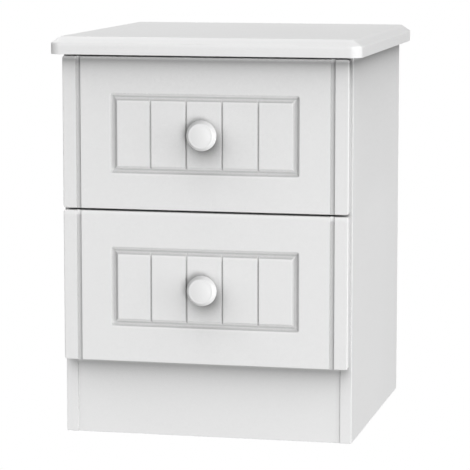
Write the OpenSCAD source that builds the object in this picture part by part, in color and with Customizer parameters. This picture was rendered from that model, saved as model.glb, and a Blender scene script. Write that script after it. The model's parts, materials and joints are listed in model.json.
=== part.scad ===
// Two-drawer bedside cabinet: a board carcass, two overlay drawer fronts with routed
// grooves, and wooden drawer boxes on side-mounted roller runners.
// Millimetres, +Z up. The fronts face -Y and +X is to the right, as seen from the front.
// The origin is the middle of the footprint, on the floor.

/* [Carcass] */
// Width over the two side panels
carcass_w = 369; // [360:1:400]
// Depth of the side panels
carcass_d = 365; // [360:1:400]
// Height of the whole cabinet
cabinet_h = 505; // [505:1:540]
// Thickness of the carcass boards
board_t = 15; // [15:0.5:16]
// Height of the two plinths
plinth_h = 97; // [85:1:97]
// Distance from the side panels' front edges back to the front plinth
plinth_setback = 1.5; // [0.5:0.5:10]
// Front to back size of each rail
rail_d = 60; // [55:1:70]
// Thickness of the back panel and of the drawer bases
hardboard_t = 3; // [2.5:0.1:3.2]
// Distance from the side panels' rear edges forward to the back panel
back_inset = 12; // [10:0.5:14]

/* [Top board] */
// Thickness of the top board
top_t = 22; // [20:0.5:25]
// Overhang past each side panel
top_side_overhang = 13; // [10:0.5:15]
// Overhang past the side panels' front edges
top_front_overhang = 24; // [20:0.5:28]
// Overhang past the side panels' rear edges
top_back_overhang = 12; // [0:0.5:15]
// Width of the sloping bevel
bevel_run = 12; // [6:0.5:13]
// Height of the sloping bevel
bevel_drop = 8; // [4:0.5:10]
// Radius of the two front corners, seen from above
top_corner_r = 14; // [13.5:0.5:20]

/* [Drawer fronts] */
// Width of each drawer front
front_w = 364; // [350:1:366]
// Height of each drawer front
front_h = 191.1; // [185:0.1:192]
// Thickness of each drawer front
front_t = 16; // [15:0.5:18]
// Gap between the two drawer fronts
front_gap = 2.4; // [2:0.1:5]
// Reach of the lower front below the upper edge of the plinth
front_drop = 0.7; // [0:0.1:3]
// Distance from the middle out to each upright end groove
end_groove_x = 161.75; // [155:0.25:165]
// Width of each end groove
end_groove_w = 6.4; // [5:0.2:8]
// Width of the routed frame, over its outer edges
frame_w = 241; // [220:1:260]
// Height of the routed frame, over its outer edges
frame_h = 100.4; // [90:0.2:120]
// Width of the routed frame's groove
frame_groove_w = 9.4; // [8:0.2:12]
// Spacing of the narrow upright grooves in the framed field
slat_pitch = 45.7; // [40:0.1:48]
// Width of the narrow grooves
slat_groove_w = 2.4; // [2:0.2:4]
// Depth of the end grooves and of the frame's groove
groove_deep = 3.5; // [2:0.5:5]

/* [Knobs] */
// Diameter of the knob's head
knob_d = 38; // [30:1:40]
// How far the knob stands out from the drawer front
knob_reach = 21.5; // [21:0.5:30]
// Diameter of the knob's neck
knob_neck_d = 17; // [14:0.5:20]

/* [Drawer boxes] */
// Height of the drawer box
box_h = 130; // [100:1:140]
// Depth of the drawer box
box_d = 320; // [305:1:330]
// Thickness of the drawer box boards
box_t = 12; // [12:0.5:14]
// Height of the drawer base's groove above the box's lower edge
base_z = 10; // [10:0.5:14]

/* [Runners] */
// Length of each runner member
runner_l = 300; // [280:5:305]
// Space between the drawer box and the side panel
runner_gap = 12.5; // [12.5:0.1:13]
// Thickness of the runners' steel
steel_t = 1.2; // [1:0.1:1.2]
// Diameter of the nylon wheels
wheel_d = 17; // [15:0.5:17]
// Width of the nylon wheels
wheel_w = 6.5; // [5.5:0.1:6.5]
// Height of the lower runners above the bottom panel
runner_rise = 10; // [6:0.5:12]

/* [Hidden] */

$fn = 48;
fit = 0.1;             // radial room of a fixed pin, dowel or screw in its hole
running_fit = 0.05;    // radial room of a wheel on its rivet
front_clearance = 0.5; // room between a closed drawer front and the carcass
margin = 1;            // how far cutting tools run past a face

// Front to back places
overall_d = knob_reach + front_t + front_clearance + carcass_d + top_back_overhang;
side_y = -overall_d / 2 + knob_reach + front_t + front_clearance;
side_back_y = side_y + carcass_d;
front_back_y = side_y - front_clearance;
front_face_y = front_back_y - front_t;
back_y = side_back_y - back_inset - hardboard_t;
plinth_y = side_y + plinth_setback;

// Widths and heights
inner_w = carcass_w - 2 * board_t;
wall_x = inner_w / 2;
side_h = cabinet_h - top_t;
rail_z = side_h - board_t;
floor_z = plinth_h + board_t;
drawer_pitch = front_h + front_gap;
lower_front_z = plinth_h - front_drop;
divider_z = lower_front_z + front_h + front_gap / 2 - board_t / 2;

// Drawer box, for the lower drawer
runner_z = floor_z + runner_rise;
box_w = inner_w - 2 * runner_gap;
side_x = box_w / 2;
box_z = runner_z + 7.2;
box_back_y = front_back_y + box_d;
groove_in = 5;
base_room = 0.2;

// Runner section, measured up from the runner's lower edge
channel_h = 20.7;
track_w = 10.5;
lip_w = 9;
lip_start = 26;
carry_z = 23.3;
carry_w = 9.5;
foot_w = 13;
foot_z = 6;
runner_y = side_y + 2;
drawer_runner_y = side_y;
rivet_d = 5;
rivet_head_d = 8;
rivet_head_t = 1;
front_wheel_z = 14.5;
rear_wheel_z = 10;
wheel_inset = 14;
front_wheel_y = runner_y + wheel_inset;
rear_wheel_y = drawer_runner_y + runner_l - wheel_inset;
front_wheel_in = 2.4; // from the side panel to the wheel's outer face
rear_wheel_in = 1.8;  // from the drawer box to the wheel's inner face
runner_screw_y = [30, 150, 270];

// Joints of the carcass
dowel_d = 8;
dowel_l = 30;
dowel_in_side = 10;
cam_d = 15;
cam_h = 12.5;
cam_reach = 24;
cam_bolt_d = 7;
board_mid = board_t / 2;
rear_rail_y = back_y - rail_d;
// [y, z] of the dowels that run from a side panel into a board
side_dowels = [
  for (y = [-60, 70]) [y, plinth_h + board_mid],
  for (z = [rail_z, divider_z]) [side_y + 17, z + board_mid],
  [rear_rail_y + 15, rail_z + board_mid],
  for (y = [plinth_y, back_y - board_t], z = [30, 70]) [y + board_mid, z],
];
// [y, z of the board's underside] of the cam locks
side_cams = [
  for (y = [-120, 130]) [y, plinth_h],
  for (z = [rail_z, divider_z]) [side_y + 43, z],
  [rear_rail_y + 43, rail_z],
];
top_dowel_y = [-110, 120];
top_screw_x = 90;
top_screw_y = [side_y + 30, rear_rail_y + 30];
back_screw_x = [-120, 0, 120];
back_screw_z = [plinth_h + board_mid, rail_z + board_mid];

// Joints of the drawer, heights above the box's lower edge
front_screw_x = 95;
front_screw_z = [28, 105];
box_screw_z = [32, 100];
knob_z = lower_front_z + front_h / 2;
knob_bolt_d = 4;
knob_bolt_l = 38;
insert_d = 8;
insert_l = 11;

foil_white = [0.93, 0.93, 0.92];
board_white = [0.9, 0.9, 0.89];
steel_white = [0.85, 0.86, 0.86];
zinc = [0.72, 0.73, 0.74];
nylon = [0.95, 0.94, 0.9];
beech = [0.8, 0.65, 0.45];
brass = [0.8, 0.66, 0.35];

function arc(x, y, r, from, to, steps) =
  [for (i = [0:steps]) let (a = from + (to - from) * i / steps) [x + r * cos(a), y + r * sin(a)]];

// ---------------------------------------------------------------- helpers

module both_sides() {
  children();
  mirror([1, 0, 0]) children();
}

module right_side() {
  mirror([1, 0, 0]) children();
}

module upper() {
  translate([0, 0, drawer_pitch]) children();
}

module both_drawers() {
  children();
  upper() children();
}

module rod(d, l) {
  cylinder(d = d, h = l);
}

// Turn a shape that stands along +Z so that it runs along the named direction.
module along_x() {
  rotate([0, 90, 0]) children();
}

module along_y() {
  rotate([-90, 0, 0]) children();
}

module toward_front() {
  rotate([90, 0, 0]) children();
}

// A countersunk wood screw: head face at the origin, tip along +Z.
module wood_screw(d, l) {
  head_h = d * 0.6;
  difference() {
    union() {
      cylinder(d1 = 2 * d, d2 = d, h = head_h);
      rod(d, l - d);
      translate([0, 0, l - d]) cylinder(d1 = d, d2 = 0.8, h = d);
    }
    cross_recess(d);
  }
}

module cross_recess(d) {
  for (turn = [0, 90])
    rotate([0, 0, turn]) translate([-0.55 * d, -0.12 * d, -margin]) cube([1.1 * d, 0.24 * d, margin + 0.4 * d]);
}

// The hole a wood screw sits in, with its countersink at the origin.
module wood_screw_hole(d, l) {
  translate([0, 0, -margin]) cylinder(d = 2 * d + 2 * fit, h = margin);
  cylinder(d1 = 2 * d + 2 * fit, d2 = d + 2 * fit, h = 0.6 * d);
  rod(d + 2 * fit, l + fit);
}

// A pan-head screw: underside of the head at the origin, shank along +Z.
module pan_screw(d, l, head_h) {
  difference() {
    union() {
      translate([0, 0, -head_h]) cylinder(d1 = 1.5 * d, d2 = 1.9 * d, h = head_h / 2);
      translate([0, 0, -head_h / 2]) rod(1.9 * d, head_h / 2);
      rod(d, l - d / 2);
      translate([0, 0, l - d / 2]) cylinder(d1 = d, d2 = 0.5 * d, h = d / 2);
    }
    translate([0, 0, -head_h]) cross_recess(0.7 * d);
  }
}

// ---------------------------------------------------------------- joint places

module at_side_dowels() {
  for (p = side_dowels) translate([-wall_x - dowel_in_side, p[0], p[1]]) along_x() children();
}

module at_cam_bolts() {
  for (p = side_cams) translate([-wall_x, p[0], p[1] + board_mid]) along_x() children();
}

module at_cams() {
  for (p = side_cams) translate([-wall_x + cam_reach, p[0], p[1]]) children();
}

module at_top_dowels() {
  for (y = top_dowel_y) translate([-carcass_w / 2 + board_mid, y, side_h - 18]) children();
}

module at_top_screws() {
  for (x = [-top_screw_x, top_screw_x], y = top_screw_y) translate([x, y, rail_z]) children();
}

module at_back_screws() {
  for (x = back_screw_x, z = back_screw_z)
    translate([x, back_y + hardboard_t, z]) toward_front() children();
}

// From the runner's web out into the left side panel.
module at_cabinet_runner_screws() {
  for (y = runner_screw_y)
    translate([-wall_x + steel_t, runner_y + y, runner_z + rear_wheel_z]) rotate([0, -90, 0]) children();
}

// Up through the drawer runner's foot into the left drawer side.
module at_drawer_runner_screws() {
  for (y = runner_screw_y)
    translate([-side_x + 5.5, drawer_runner_y + y, runner_z + foot_z]) children();
}

module at_front_rivet() {
  translate([-wall_x, front_wheel_y, runner_z + front_wheel_z]) along_x() children();
}

module at_rear_rivet() {
  translate([-side_x, rear_wheel_y, runner_z + rear_wheel_z]) rotate([0, -90, 0]) children();
}

module at_box_screws() {
  for (y = [front_back_y + box_t / 2, box_back_y - box_t / 2], z = box_screw_z)
    translate([-side_x, y, box_z + z]) along_x() children();
}

module at_front_screws() {
  for (x = [-front_screw_x, front_screw_x], z = front_screw_z)
    translate([x, front_back_y + box_t, box_z + z]) toward_front() children();
}

module at_knob_bolt() {
  translate([0, front_back_y + box_t, knob_z]) toward_front() children();
}

// ---------------------------------------------------------------- carcass

// The top board: square edges below, a sloping bevel above on the front and both ends,
// and two round front corners that the bevel follows.
module top_board() {
  half_w = carcass_w / 2 + top_side_overhang;
  front_y = side_y - top_front_overhang;
  back_edge_y = side_back_y + top_back_overhang;
  edge_h = top_t - bevel_drop;
  color(foil_white) translate([0, 0, side_h]) difference() {
    union() {
      // middle, with the front bevel
      translate([-(half_w - top_corner_r), 0, 0]) rotate([90, 0, 90])
        linear_extrude(2 * (half_w - top_corner_r)) polygon([
          [front_y, 0], [back_edge_y, 0], [back_edge_y, top_t],
          [front_y + bevel_run, top_t], [front_y, edge_h]]);
      // both ends, with their bevels, and the round corners
      both_sides() {
        translate([0, back_edge_y, 0]) rotate([90, 0, 0])
          linear_extrude(back_edge_y - front_y - top_corner_r) polygon([
            [-half_w, 0], [-half_w + top_corner_r + margin, 0],
            [-half_w + top_corner_r + margin, top_t], [-half_w + bevel_run, top_t], [-half_w, edge_h]]);
        translate([-half_w + top_corner_r, front_y + top_corner_r, 0]) {
          cylinder(r = top_corner_r, h = edge_h, $fn = 96);
          translate([0, 0, edge_h])
            cylinder(r1 = top_corner_r, r2 = top_corner_r - bevel_run, h = bevel_drop, $fn = 96);
        }
      }
    }
    translate([0, 0, -side_h]) {
      both_sides() at_top_dowels() rod(dowel_d + 2 * fit, dowel_l + fit);
      at_top_screws() rod(4 + 2 * fit, 28 + fit);
    }
  }
}

module side_panel() {
  color(foil_white) difference() {
    translate([-carcass_w / 2, side_y, 0]) cube([board_t, carcass_d, side_h]);
    // groove for the back panel
    translate([-wall_x - groove_in, back_y - fit, -margin])
      cube([groove_in + margin, hardboard_t + 2 * fit, side_h + 2 * margin]);
    at_side_dowels() translate([0, 0, -fit]) rod(dowel_d + 2 * fit, dowel_l);
    at_cam_bolts() translate([0, 0, -11 - fit]) rod(5 + 2 * fit, 11 + fit + margin);
    at_top_dowels() translate([0, 0, -fit]) rod(dowel_d + 2 * fit, dowel_l);
    both_drawers() at_cabinet_runner_screws() rod(4.5 + 2 * fit, 13 + fit);
  }
}

// A flat board between the side panels, with the holes of its own joints.
module cross_board(y, z, depth, height) {
  difference() {
    translate([-wall_x, y, z]) cube([inner_w, depth, height]);
    both_sides() {
      at_side_dowels() rod(dowel_d + 2 * fit, dowel_l + fit);
      at_cam_bolts() translate([0, 0, -margin]) rod(cam_bolt_d + 2 * fit, cam_reach + margin);
      at_cams() translate([0, 0, -margin]) rod(cam_d + 2 * fit, cam_h + margin + fit);
    }
    at_back_screws() rod(3.5 + 2 * fit, 16 + fit);
    at_top_screws() wood_screw_hole(4, 28);
  }
}

module bottom_panel() {
  color(board_white) cross_board(side_y, plinth_h, back_y - side_y, board_t);
}

module front_plinth() {
  color(foil_white) cross_board(plinth_y, 0, board_t, plinth_h);
}

module rear_plinth() {
  color(board_white) cross_board(back_y - board_t, 0, board_t, plinth_h);
}

module front_top_rail() {
  color(board_white) cross_board(side_y, rail_z, rail_d, board_t);
}

module rear_top_rail() {
  color(board_white) cross_board(rear_rail_y, rail_z, rail_d, board_t);
}

module divider_rail() {
  color(foil_white) cross_board(side_y, divider_z, rail_d, board_t);
}

module back_panel() {
  edge = wall_x + groove_in - 2 * fit;
  color(board_white) difference() {
    translate([-edge, back_y, 2]) cube([2 * edge, hardboard_t, side_h - 2]);
    at_back_screws() translate([0, 0, -margin]) rod(3.5 + 2 * fit, hardboard_t + 2 * margin);
  }
}

// ---------------------------------------------------------------- carcass fittings

module dowel() {
  translate([0, 0, 1]) rod(dowel_d, dowel_l - 2);
  cylinder(d1 = dowel_d - 1.4, d2 = dowel_d, h = 1);
  translate([0, 0, dowel_l - 1]) cylinder(d1 = dowel_d, d2 = dowel_d - 1.4, h = 1);
}

module dowels() {
  color(beech) both_sides() {
    at_side_dowels() dowel();
    at_top_dowels() dowel();
  }
}

// An eccentric lock: a drum with a side mouth that the bolt's head sits in.
module cam_lock() {
  difference() {
    rod(cam_d, cam_h);
    translate([0, 0, board_mid]) rotate([0, -90, 0])
      translate([0, 0, -cam_bolt_d / 2 - fit]) rod(cam_bolt_d + 2 * fit, cam_d);
    cross_recess(7);
  }
}

module cam_locks() {
  color(zinc) both_sides() at_cams() cam_lock();
}

module cam_bolt() {
  translate([0, 0, -11]) cylinder(d1 = 3.5, d2 = 5, h = 1.5);
  translate([0, 0, -9.5]) rod(5, 9.5 + margin);
  rod(cam_bolt_d, 1.5);
  rod(5, cam_reach - 2);
  translate([0, 0, cam_reach - 2.5]) cylinder(d1 = 5, d2 = cam_bolt_d, h = 1.5);
  translate([0, 0, cam_reach - 1]) rod(cam_bolt_d, 2.5);
}

module cam_bolts() {
  color(zinc) both_sides() at_cam_bolts() cam_bolt();
}

module top_screws() {
  color(zinc) at_top_screws() wood_screw(4, 28);
}

module back_panel_screws() {
  color(zinc) at_back_screws() pan_screw(3.5, 16, 2.2);
}

module cabinet_runner_screws() {
  color(zinc) both_sides() both_drawers() at_cabinet_runner_screws() pan_screw(4.5, 13, 1);
}

// ---------------------------------------------------------------- runners

// Left cabinet member: a web on the side panel, a track for the drawer's rear wheel,
// and a lip that holds that wheel down.
module cabinet_runner() {
  color(steel_white) difference() {
    translate([-wall_x, runner_y, runner_z]) {
      cube([steel_t, runner_l, channel_h]);
      cube([track_w, runner_l, steel_t]);
      translate([0, lip_start, channel_h - steel_t]) cube([lip_w, runner_l - lip_start, steel_t]);
    }
    at_cabinet_runner_screws() translate([0, 0, -margin]) rod(4.5 + 2 * fit, 3 * margin);
    at_front_rivet() translate([0, 0, -margin]) rod(rivet_d + 2 * fit, 3 * margin);
  }
}

// Left drawer member: a foot under the drawer side, a web beside it, and a flange that
// rides on the cabinet's front wheel.
module drawer_runner() {
  web_h = carry_z + steel_t - foot_z;
  color(steel_white) difference() {
    translate([-side_x - steel_t, drawer_runner_y, runner_z]) {
      translate([0, 0, foot_z]) cube([steel_t, runner_l, web_h]);
      translate([0, 0, foot_z]) cube([foot_w, runner_l, steel_t]);
      translate([steel_t - carry_w, 0, carry_z]) cube([carry_w, runner_l, steel_t]);
    }
    at_drawer_runner_screws() translate([0, 0, -margin]) rod(3.5 + 2 * fit, 4 * margin);
    at_rear_rivet() translate([0, 0, -margin]) rod(rivet_d + 2 * fit, 4 * margin);
  }
}

// A rivet along +Z from its flush tail to its head.
module rivet(shank_l) {
  rod(rivet_d, shank_l + rivet_head_t / 2);
  translate([0, 0, shank_l]) cylinder(d1 = rivet_head_d, d2 = rivet_head_d - 1.6, h = rivet_head_t);
}

module front_wheel_rivets() {
  color(zinc) both_sides() both_drawers() at_front_rivet() rivet(front_wheel_in + wheel_w + 0.3);
}

module rear_wheel_rivets() {
  color(zinc) both_sides() at_rear_rivet() rivet(rear_wheel_in + wheel_w + 0.3);
}

// A nylon wheel along +Z: a tread with eased rims, a sunk web and a hub with a bore.
module wheel() {
  bore_r = rivet_d / 2 + running_fit;
  r = wheel_d / 2;
  hub_r = 4.2;
  rim_r = r - 2.2;
  sink = 1.2;
  rotate_extrude($fn = 96) polygon([
    [bore_r, 0], [hub_r, 0], [hub_r, sink], [rim_r, sink], [rim_r, 0], [r - 0.5, 0], [r, 0.5],
    [r, wheel_w - 0.5], [r - 0.5, wheel_w], [rim_r, wheel_w], [rim_r, wheel_w - sink],
    [hub_r, wheel_w - sink], [hub_r, wheel_w], [bore_r, wheel_w]]);
}

module front_wheel() {
  color(nylon) at_front_rivet() translate([0, 0, front_wheel_in]) wheel();
}

module rear_wheel() {
  color(nylon) at_rear_rivet() translate([0, 0, rear_wheel_in]) wheel();
}

// ---------------------------------------------------------------- drawers

// A groove along +X of the given length, cut down from the plane Z = 0.
module straight_groove(w, deep, flat, l) {
  rotate([90, 0, 90]) linear_extrude(l) polygon([
    [-w / 2 - margin * w / (2 * deep), margin], [w / 2 + margin * w / (2 * deep), margin],
    [flat / 2, -deep], [-flat / 2, -deep]]);
}

// One side of the frame's groove, mitred at both ends: l long, its outer edge on Y = 0.
module mitred_groove(l) {
  w = frame_groove_w;
  intersection() {
    translate([-l / 2, -w / 2, 0]) straight_groove(w, groove_deep, 2, l);
    translate([0, 0, -groove_deep - margin]) linear_extrude(groove_deep + margin)
      polygon([[-l / 2, 0], [l / 2, 0], [l / 2 - w, -w], [-l / 2 + w, -w]]);
  }
}

module drawer_front() {
  edge = 1.5;       // eased front arrises
  slat_inset = 3.5; // the narrow grooves start inside the frame's groove
  color(foil_white) difference() {
    translate([-front_w / 2, front_face_y, lower_front_z]) difference() {
      cube([front_w, front_t, front_h]);
      for (x = [0, front_w]) translate([x, 0, -margin]) rotate([0, 0, 45])
        translate([-edge, -edge, 0]) cube([2 * edge, 2 * edge, front_h + 2 * margin]);
      for (z = [0, front_h]) translate([-margin, 0, z]) rotate([45, 0, 0])
        translate([0, -edge, -edge]) cube([front_w + 2 * margin, 2 * edge, 2 * edge]);
    }
    // routed grooves, drawn on the face with Z out of it
    translate([0, front_face_y, knob_z]) rotate([90, 0, 0]) {
      for (x = [-end_groove_x, end_groove_x]) translate([x, -front_h / 2 - margin, 0])
        rotate([0, 0, 90]) straight_groove(end_groove_w, groove_deep, 1, front_h + 2 * margin);
      for (turn = [0, 180]) rotate([0, 0, turn]) {
        translate([0, frame_h / 2, 0]) mitred_groove(frame_w);
        rotate([0, 0, 90]) translate([0, frame_w / 2, 0]) mitred_groove(frame_h);
      }
      for (n = [-1.5:1:1.5]) translate([n * slat_pitch, -frame_h / 2 + slat_inset, 0])
        rotate([0, 0, 90]) straight_groove(slat_groove_w, groove_deep / 2, 0.6, frame_h - 2 * slat_inset);
    }
    at_front_screws() rod(4 + 2 * fit, 24 + fit);
    at_knob_bolt() rod(knob_bolt_d + 2 * fit, knob_bolt_l);
  }
}

// The knob along +Z, its foot on Z = 0.
module knob_shape() {
  neck_r = knob_neck_d / 2;
  head_r = knob_d / 2;
  rim_z = knob_reach - 7.5;
  face_r = head_r - 4.2;
  dome_h = 1.6;
  dome_r = (face_r * face_r + dome_h * dome_h) / (2 * dome_h);
  dome_a = asin(face_r / dome_r);
  rotate_extrude($fn = 96) polygon(concat(
    [[0, 0], [neck_r + 2.5, 0], [neck_r + 2.5, 1.5]],
    arc(neck_r + 4, 6, 4.5, 250, 180, 6),
    [[neck_r, rim_z - 5.5], [head_r - 1.5, rim_z - 2]],
    arc(head_r - 2, rim_z, 2, -60, 30, 6),
    arc(face_r - 0.5, knob_reach - dome_h - 2.6, 3.1, 20, 65, 4),
    [for (i = [1:8]) let (a = dome_a * (1 - i / 8))
      [dome_r * sin(a), knob_reach - dome_r + dome_r * cos(a)]]));
}

module knob() {
  color(foil_white) translate([0, front_face_y, knob_z]) toward_front() difference() {
    knob_shape();
    translate([0, 0, -margin]) rod(insert_d + 2 * fit, insert_l + 1.5 + margin);
  }
}

module knob_insert() {
  color(brass) translate([0, front_face_y, knob_z]) toward_front() difference() {
    rod(insert_d, insert_l);
    translate([0, 0, -margin]) rod(knob_bolt_d + 2 * fit, insert_l + 2 * margin);
  }
}

module knob_bolt() {
  color(zinc) at_knob_bolt() pan_screw(knob_bolt_d, knob_bolt_l, 2.6);
}

// The groove that the drawer base sits in, cut out of all four box boards.
module base_groove() {
  half_w = side_x - box_t + groove_in;
  translate([-half_w, front_back_y + box_t - groove_in, box_z + base_z])
    cube([2 * half_w, box_d - 2 * (box_t - groove_in), hardboard_t + base_room]);
}

module box_side() {
  color(board_white) difference() {
    translate([-side_x, front_back_y, box_z]) cube([box_t, box_d, box_h]);
    base_groove();
    at_box_screws() wood_screw_hole(4, 36);
    at_drawer_runner_screws() rod(3.5 + 2 * fit, 9.6);
  }
}

module box_end(y) {
  difference() {
    translate([-side_x + box_t, y, box_z]) cube([box_w - 2 * box_t, box_t, box_h]);
    base_groove();
    both_sides() at_box_screws() rod(4 + 2 * fit, 36 + fit);
    at_front_screws() wood_screw_hole(4, 24);
    at_knob_bolt() rod(knob_bolt_d + 2 * fit, knob_bolt_l);
  }
}

module box_front() {
  color(board_white) box_end(front_back_y);
}

module box_back() {
  color(board_white) box_end(box_back_y - box_t);
}

module box_base() {
  half_w = side_x - box_t + groove_in - base_room;
  color(board_white) translate([-half_w, front_back_y + box_t - groove_in + base_room, box_z + base_z])
    cube([2 * half_w, box_d - 2 * (box_t - groove_in + base_room), hardboard_t]);
}

module box_screws() {
  color(zinc) both_sides() at_box_screws() wood_screw(4, 36);
}

module front_screws() {
  color(zinc) at_front_screws() wood_screw(4, 24);
}

module drawer_runner_screws() {
  color(zinc) both_sides() at_drawer_runner_screws() pan_screw(3.5, 9.5, 1.6);
}

// ---------------------------------------------------------------- assembly

top_board();
side_panel();  // left_side_panel
right_side() side_panel();  // right_side_panel
bottom_panel();
front_plinth();
rear_plinth();
front_top_rail();
rear_top_rail();
divider_rail();
back_panel();
upper() cabinet_runner();  // upper_left_cabinet_runner
upper() right_side() cabinet_runner();  // upper_right_cabinet_runner
cabinet_runner();  // lower_left_cabinet_runner
right_side() cabinet_runner();  // lower_right_cabinet_runner
cam_locks();
cam_bolts();
dowels();
top_screws();
cabinet_runner_screws();
back_panel_screws();
front_wheel_rivets();

upper() drawer_front();  // upper_drawer_front
upper() knob();  // upper_knob
upper() knob_insert();  // upper_knob_insert
upper() knob_bolt();  // upper_knob_bolt
upper() box_front();  // upper_box_front
upper() box_back();  // upper_box_back
upper() box_side();  // upper_box_left_side
upper() right_side() box_side();  // upper_box_right_side
upper() box_base();  // upper_box_base
upper() drawer_runner();  // upper_left_drawer_runner
upper() right_side() drawer_runner();  // upper_right_drawer_runner
upper() box_screws();  // upper_box_screws
upper() front_screws();  // upper_front_screws
upper() drawer_runner_screws();  // upper_runner_screws
upper() rear_wheel_rivets();  // upper_rear_wheel_rivets

drawer_front();  // lower_drawer_front
knob();  // lower_knob
knob_insert();  // lower_knob_insert
knob_bolt();  // lower_knob_bolt
box_front();  // lower_box_front
box_back();  // lower_box_back
box_side();  // lower_box_left_side
right_side() box_side();  // lower_box_right_side
box_base();  // lower_box_base
drawer_runner();  // lower_left_drawer_runner
right_side() drawer_runner();  // lower_right_drawer_runner
box_screws();  // lower_box_screws
front_screws();  // lower_front_screws
drawer_runner_screws();  // lower_runner_screws
rear_wheel_rivets();  // lower_rear_wheel_rivets

upper() front_wheel();  // upper_left_front_wheel
upper() right_side() front_wheel();  // upper_right_front_wheel
upper() rear_wheel();  // upper_left_rear_wheel
upper() right_side() rear_wheel();  // upper_right_rear_wheel
front_wheel();  // lower_left_front_wheel
right_side() front_wheel();  // lower_right_front_wheel
rear_wheel();  // lower_left_rear_wheel
right_side() rear_wheel();  // lower_right_rear_wheel
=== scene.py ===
"""A two-drawer bedside cabinet: its finished surfaces and a small studio around it.

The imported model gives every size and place. The boards get eased arrises, the drawer fronts
their routed grooves, the knobs their turned shape, and every piece its own finish.
"""

import json
import math

import bmesh
import bpy
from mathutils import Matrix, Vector


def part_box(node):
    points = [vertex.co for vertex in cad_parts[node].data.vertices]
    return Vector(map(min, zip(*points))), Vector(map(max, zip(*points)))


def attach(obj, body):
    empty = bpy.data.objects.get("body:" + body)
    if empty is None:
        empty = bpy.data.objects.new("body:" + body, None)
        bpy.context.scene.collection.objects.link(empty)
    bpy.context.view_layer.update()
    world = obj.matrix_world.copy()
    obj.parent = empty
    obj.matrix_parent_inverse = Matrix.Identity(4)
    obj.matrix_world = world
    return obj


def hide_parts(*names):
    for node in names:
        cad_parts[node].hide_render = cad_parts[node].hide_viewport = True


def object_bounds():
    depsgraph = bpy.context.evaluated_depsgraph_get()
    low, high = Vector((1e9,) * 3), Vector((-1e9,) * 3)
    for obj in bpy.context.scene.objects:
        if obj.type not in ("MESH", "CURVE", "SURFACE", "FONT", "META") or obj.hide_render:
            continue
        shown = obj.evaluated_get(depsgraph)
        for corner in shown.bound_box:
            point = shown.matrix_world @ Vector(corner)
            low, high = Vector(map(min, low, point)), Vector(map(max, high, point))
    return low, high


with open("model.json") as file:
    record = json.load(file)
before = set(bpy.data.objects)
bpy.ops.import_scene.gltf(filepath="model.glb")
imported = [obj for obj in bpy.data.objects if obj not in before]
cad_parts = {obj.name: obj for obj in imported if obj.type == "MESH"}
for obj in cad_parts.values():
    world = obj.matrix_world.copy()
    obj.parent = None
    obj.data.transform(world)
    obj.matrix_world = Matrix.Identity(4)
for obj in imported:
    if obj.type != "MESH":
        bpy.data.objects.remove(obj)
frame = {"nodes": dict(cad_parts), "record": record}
cad_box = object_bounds()

bl_info = {
    "name": "Two-Drawer Bedside Cabinet",
    "version": (1, 0, 0),
    "blender": (4, 5, 0),
    "location": "View3D > Sidebar > Cabinet",
    "description": "Builds the cabinet's boards, drawer fronts, knobs, fittings, finishes and studio",
    "category": "Object",
}

MM = 0.001
DRAWERS = ("upper", "lower")
SIDES = ("left", "right")

DOUBLED = 0.002 * MM  # points of a new mesh that are nearer than this are one point
CAD_DOUBLED = 0.01 * MM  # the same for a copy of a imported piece
SAME_LINE = 0.02 * MM  # grid lines nearer than this are one line
LEAST_TURN = math.radians(50)  # edges that turn less than this are not rounded
CORNER_FADE = 0.4  # how far a round corner bends the grid around it, as a part of its radius
PANEL_EASE = 0.3 * MM
BASE_EASE = 0.2 * MM
FRONT_BACK_EASE = 0.5 * MM
BARE_FIBRES = (0.33, 0.19, 0.09)

# How strongly the painted shade darkens each finish's colour under ledges and around knobs. The plinth and
# the sides stand more in the open and get less painted shade.
FOIL_PAINTED_SHADE = 1.4
PLINTH_PAINTED_SHADE = 0.55
SIDE_PAINTED_SHADE = 0.7
BOARD_PAINTED_SHADE = 0.7
KNOB_PAINTED_SHADE = 0.4

# Each light's azimuth, where 0 is in front and 90 on the right, and its elevation, in degrees.
LIGHT_PLACES = {"key": (26, -5), "side": (80, 5), "top": (-130, 48)}
LIGHT_SIZE = 7.5
LIGHT_DISTANCE = 14.0


def record_colour(slot):
    """The colour that the record gives to a material slot."""
    found = [m["base_color"] for m in frame["record"]["materials"] if m["slot"] == slot]
    return tuple(found[0])


# ---------------------------------------------------------------- what a user may change


def length(name, description, default):
    """A length in metres, given here in millimetres."""
    return bpy.props.FloatProperty(
        name=name, description=description, default=default * MM, min=0.0, unit="LENGTH", precision=4
    )


def paint(name, description, slot):
    """A colour that starts as the record's colour for its slot."""
    return bpy.props.FloatVectorProperty(
        name=name, description=description, default=record_colour(slot), size=3, min=0.0, max=1.0,
        subtype="COLOR",
    )


def watts(name, description, default):
    """The power of a light."""
    return bpy.props.FloatProperty(
        name=name, description=description, default=default, min=0.0, unit="POWER"
    )


class BoardSizes(bpy.types.PropertyGroup):
    """Sizes of the top board and of the eased edges of all boards."""

    arris: length("Arris", "Rounding of the boards' long edges", 0.8)
    drawer_arris: length("Drawer arris", "Rounding of the drawer boxes' edges", 0.6)
    steel_bend: length("Steel bend", "Rounding of the runners' bends", 0.4)
    corner: length("Corner radius", "Front corners of the top board, seen from above", 14)
    bevel_run: length("Bevel run", "Width of the top board's sloping bevel", 12)
    bevel_drop: length("Bevel drop", "Height of the top board's sloping bevel", 8)
    bevel_soft: length("Bevel softness", "Reach of the soft turn at each edge of the bevel", 1.2)
    under_soft: length("Under softness", "Reach of the soft turn at the lower edge of the top board", 0.35)


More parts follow.
